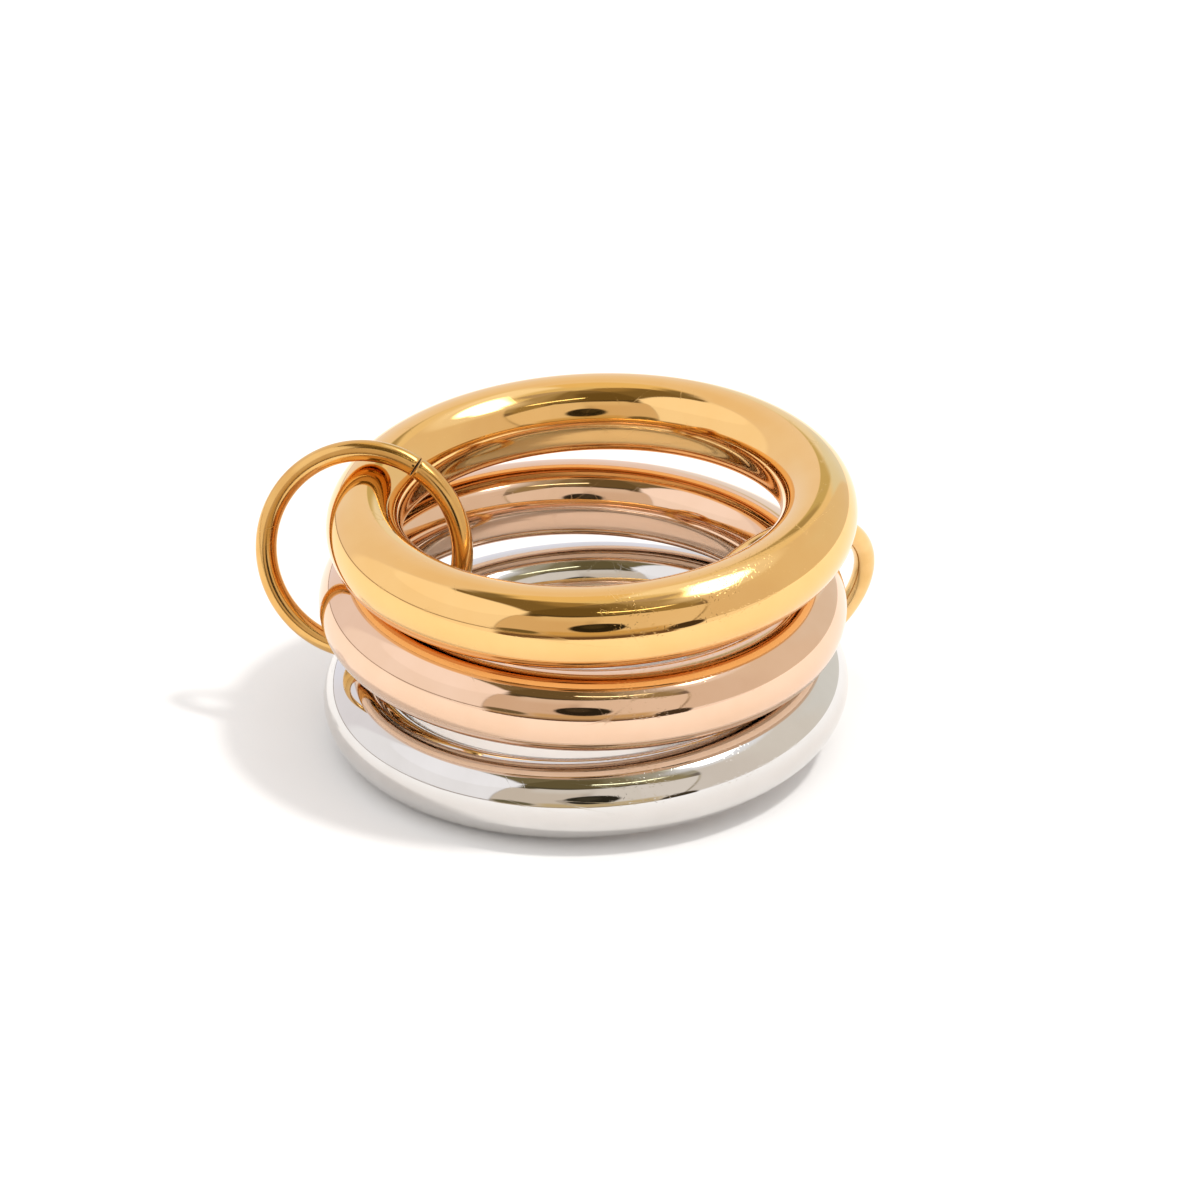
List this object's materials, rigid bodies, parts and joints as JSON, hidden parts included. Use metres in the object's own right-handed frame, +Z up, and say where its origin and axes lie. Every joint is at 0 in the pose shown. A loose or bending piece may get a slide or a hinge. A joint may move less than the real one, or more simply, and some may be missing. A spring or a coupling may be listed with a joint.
{
  "type": "stackable ring",
  "caption": "Stack of plain round-section finger ring bands in yellow gold, rose gold and steel tones, loosely joined by thin wire jump rings.",
  "frame": {"origin": "middle of the footprint, on the surface that the stack lies on", "axes": "+Z up, along the finger hole; +X to the right of the view, from the jump ring that holds the yellow and rose bands to the one that holds the rose and steel bands; +Y away from the viewer"},
  "size_m": [0.0288, 0.0246, 0.0137],
  "materials": {
    "yellow_gold": "mirror-polished yellow gold plating with fine handling scratches",
    "rose_gold": "mirror-polished rose gold plating with fine handling scratches",
    "steel": "mirror-polished stainless steel with fine handling scratches",
    "wire_gold": "drawn wire with polished yellow gold plating"
  },
  "bodies": {
    "root": {"steel_band": "steel", "rose_band": "rose_gold", "yellow_band": "yellow_gold", "right_jump_ring": "wire_gold", "left_jump_ring": "wire_gold"}
  },
  "joints": []
}
